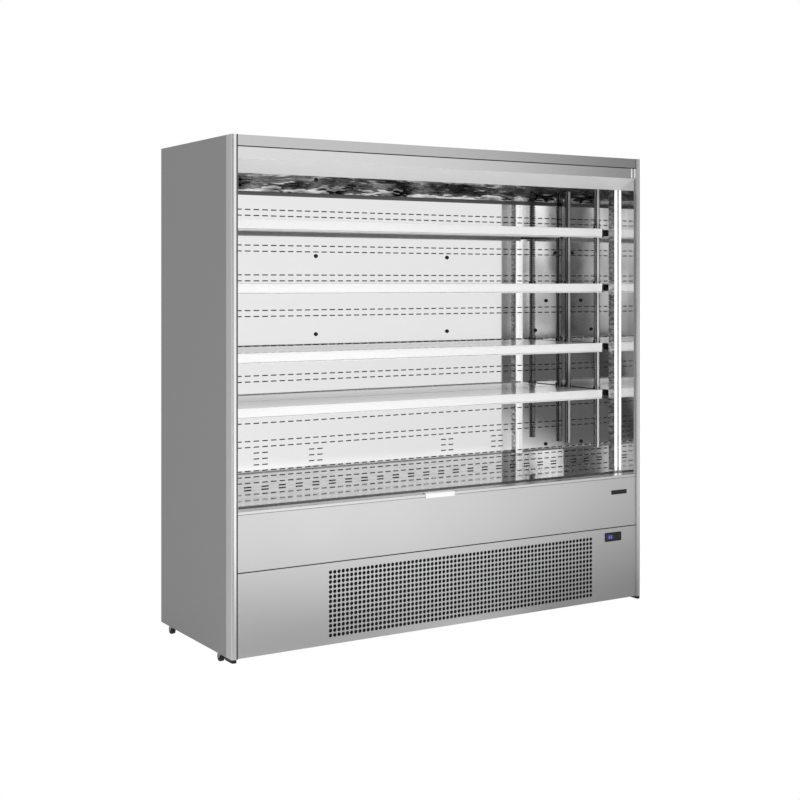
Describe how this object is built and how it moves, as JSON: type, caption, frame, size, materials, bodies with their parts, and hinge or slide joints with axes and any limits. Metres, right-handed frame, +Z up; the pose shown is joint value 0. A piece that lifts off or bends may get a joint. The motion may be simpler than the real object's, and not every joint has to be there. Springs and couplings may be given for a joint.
{
  "type": "open multideck display fridge",
  "caption": "Open-fronted multideck display fridge with adjustable shelves, perforated condenser grille, night blind and swivel castors.",
  "frame": {"origin": "on the floor under the middle of the body's width and depth", "axes": "+Z up, +Y to the back, +X to the right seen from the front"},
  "size_m": [1.914, 0.658, 1.913],
  "materials": {
    "painted_side_grey": "matt grey powder coat",
    "anodised_aluminium": "satin anodised",
    "mirror_steel": "mirror-polished stainless sheet",
    "foam": "rigid polyurethane foam",
    "black_plastic": "fine moulded grain",
    "galvanised_steel": "galvanised sheet",
    "brushed_steel": "brushed stainless sheet",
    "white_steel": "bright stainless and white sheet",
    "polished_steel": "bright rolled",
    "blind_fabric": "woven blind cloth",
    "lamp_grey": "anodised",
    "opal_lens": "opal lens",
    "display_glass": "dark glossy window",
    "fin_aluminium": "stamped fins",
    "fan_plastic": "moulded",
    "black_paint": "satin black",
    "zinc_steel": "zinc-plated pressing",
    "black_rubber": "matt"
  },
  "bodies": {
    "cabinet": {"side_panel_right": "painted_side_grey", "side_panel_left": "painted_side_grey", "corner_profile_right": "anodised_aluminium", "corner_profile_left": "anodised_aluminium", "front_rail": "anodised_aluminium", "side_liners": "mirror_steel", "back_panel": "mirror_steel", "deck_panel": "mirror_steel", "cabinet_foam": "foam", "breaker_strips": "black_plastic", "profile_feet": "black_plastic", "panel_knobs": "black_plastic", "controller_housing": "black_plastic", "honeycomb_outlet": "black_plastic", "rear_skin": "galvanised_steel", "roof_skin": "galvanised_steel", "duct_front_wall": "galvanised_steel", "roller_brackets": "galvanised_steel", "duct_liner": "galvanised_steel", "tank_tub": "galvanised_steel", "fan_plate": "galvanised_steel", "base_pan": "galvanised_steel", "condenser_shroud": "galvanised_steel", "top_fascia": "brushed_steel", "canopy_cover": "brushed_steel", "upper_front_panel": "brushed_steel", "lower_front_panel": "brushed_steel", "return_grille": "brushed_steel", "ceiling_panel": "white_steel", "price_rails": "white_steel", "shelf_1": "white_steel", "shelf_2": "white_steel", "shelf_3": "white_steel", "shelf_4": "white_steel", "rail_catch": "polished_steel", "shelf_racks": "polished_steel", "blind_cloth": "blind_fabric", "lamp_housings": "lamp_grey", "lamp_diffusers": "opal_lens", "controller_display": "display_glass", "evaporator_coil": "fin_aluminium", "condenser_coil": "fin_aluminium", "compressor": "black_paint", "castor_plates": "zinc_steel"},
    "blind_bar_body": {"blind_bar": "anodised_aluminium"},
    "controller_button_1_body": {"controller_button_1": "black_plastic"},
    "controller_button_2_body": {"controller_button_2": "black_plastic"},
    "controller_button_3_body": {"controller_button_3": "black_plastic"},
    "blind_roller_body": {"blind_roller": "blind_fabric"},
    "tank_fan_1_body": {"tank_fan_1": "fan_plastic"},
    "tank_fan_2_body": {"tank_fan_2": "fan_plastic"},
    "condenser_fan_body": {"condenser_fan": "fan_plastic"},
    "castor_front_left": {"castor_fork_front_left": "zinc_steel"},
    "castor_front_right": {"castor_fork_front_right": "zinc_steel"},
    "castor_rear_left": {"castor_fork_rear_left": "zinc_steel"},
    "castor_rear_right": {"castor_fork_rear_right": "zinc_steel"},
    "wheel_front_left": {"castor_wheel_front_left": "black_rubber"},
    "wheel_front_right": {"castor_wheel_front_right": "black_rubber"},
    "wheel_rear_left": {"castor_wheel_rear_left": "black_rubber"},
    "wheel_rear_right": {"castor_wheel_rear_right": "black_rubber"}
  },
  "joints": [
    {"name": "castor_swivel_front_left", "type": "hinge", "parent": "cabinet", "child": "castor_front_left", "pos_m": [-0.921, -0.169, 0.046], "axis": [0, 0, 1], "continuous": true},
    {"name": "wheel_roll_front_left", "type": "hinge", "parent": "castor_front_left", "child": "wheel_front_left", "pos_m": [-0.921, -0.157, 0.017], "axis": [1, 0, 0], "continuous": true},
    {"name": "castor_swivel_front_right", "type": "hinge", "parent": "cabinet", "child": "castor_front_right", "pos_m": [0.921, -0.169, 0.046], "axis": [0, 0, 1], "continuous": true},
    {"name": "wheel_roll_front_right", "type": "hinge", "parent": "castor_front_right", "child": "wheel_front_right", "pos_m": [0.921, -0.157, 0.017], "axis": [1, 0, 0], "continuous": true},
    {"name": "castor_swivel_rear_left", "type": "hinge", "parent": "cabinet", "child": "castor_rear_left", "pos_m": [-0.921, 0.291, 0.046], "axis": [0, 0, 1], "continuous": true},
    {"name": "wheel_roll_rear_left", "type": "hinge", "parent": "castor_rear_left", "child": "wheel_rear_left", "pos_m": [-0.921, 0.303, 0.017], "axis": [1, 0, 0], "continuous": true},
    {"name": "castor_swivel_rear_right", "type": "hinge", "parent": "cabinet", "child": "castor_rear_right", "pos_m": [0.921, 0.291, 0.046], "axis": [0, 0, 1], "continuous": true},
    {"name": "wheel_roll_rear_right", "type": "hinge", "parent": "castor_rear_right", "child": "wheel_rear_right", "pos_m": [0.921, 0.303, 0.017], "axis": [1, 0, 0], "continuous": true},
    {"name": "tank_fan_1_spin", "type": "hinge", "parent": "cabinet", "child": "tank_fan_1_body", "pos_m": [-0.42, -0.099, 0.4775], "axis": [0, 1, 0], "continuous": true},
    {"name": "tank_fan_2_spin", "type": "hinge", "parent": "cabinet", "child": "tank_fan_2_body", "pos_m": [0.42, -0.099, 0.4775], "axis": [0, 1, 0], "continuous": true},
    {"name": "condenser_fan_spin", "type": "hinge", "parent": "cabinet", "child": "condenser_fan_body", "pos_m": [-0.317, -0.177, 0.171], "axis": [0, 1, 0], "continuous": true},
    {"name": "blind_roller_turn", "type": "hinge", "parent": "cabinet", "child": "blind_roller_body", "pos_m": [0, -0.2423, 1.846], "axis": [-1, 0, 0], "range_deg": [0, 3648], "stiffness_Nm_per_rad": 0.0015, "springref_deg": -2864.79},
    {"name": "blind_bar_drop", "type": "slide", "parent": "cabinet", "child": "blind_bar_body", "axis": [0, 0, -1], "range_m": [0, 1.21], "deforming": ["blind_cloth"]},
    {"name": "controller_button_1_press", "type": "slide", "parent": "cabinet", "child": "controller_button_1_body", "axis": [0, 1, 0], "range_m": [0, 0.0008], "stiffness_N_per_m": 500},
    {"name": "controller_button_2_press", "type": "slide", "parent": "cabinet", "child": "controller_button_2_body", "axis": [0, 1, 0], "range_m": [0, 0.0008], "stiffness_N_per_m": 500},
    {"name": "controller_button_3_press", "type": "slide", "parent": "cabinet", "child": "controller_button_3_body", "axis": [0, 1, 0], "range_m": [0, 0.0008], "stiffness_N_per_m": 500}
  ],
  "couplings": [
    {"joint": "blind_bar_drop", "follows": "blind_roller_turn", "m_per_rad": 0.019}
  ]
}
